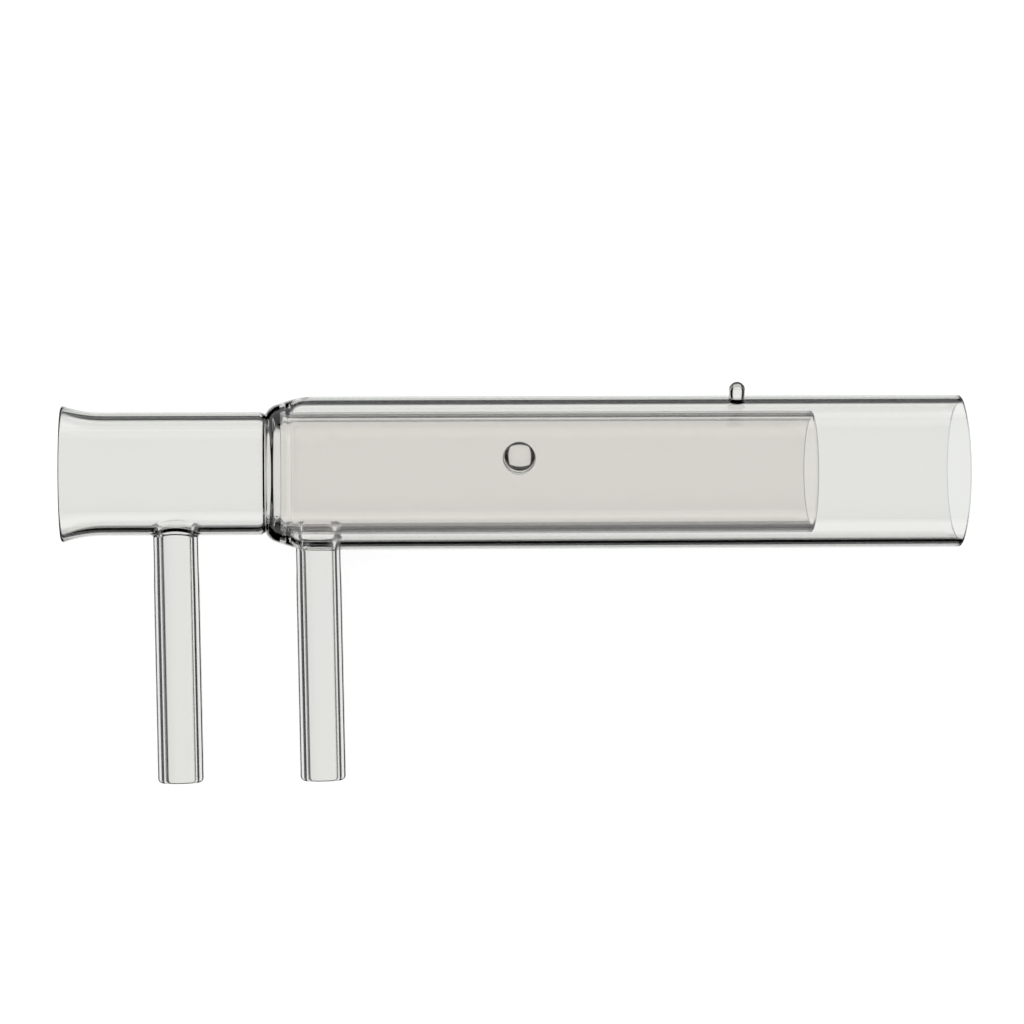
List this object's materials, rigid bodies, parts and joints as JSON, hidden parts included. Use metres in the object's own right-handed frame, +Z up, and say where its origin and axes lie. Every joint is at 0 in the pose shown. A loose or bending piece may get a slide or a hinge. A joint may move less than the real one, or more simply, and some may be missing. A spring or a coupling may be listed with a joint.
{
  "type": "icp torch",
  "caption": "Clear quartz torch body for a plasma: flared rear tube, ring seal, wide outer tube round an inner tube, and gas arms on one side.",
  "frame": {"origin": "centre of the outer tube's front rim, on the axis of the tubes", "axes": "+X along the axis, out of the open front end; +Z up from the surface that the torch lies on; the gas arms point to -Y"},
  "size_m": [0.1176, 0.0515, 0.0222],
  "materials": {
    "quartz": "clear fused quartz, fire-polished"
  },
  "bodies": {
    "root": {"torch_body": "quartz"}
  },
  "joints": []
}
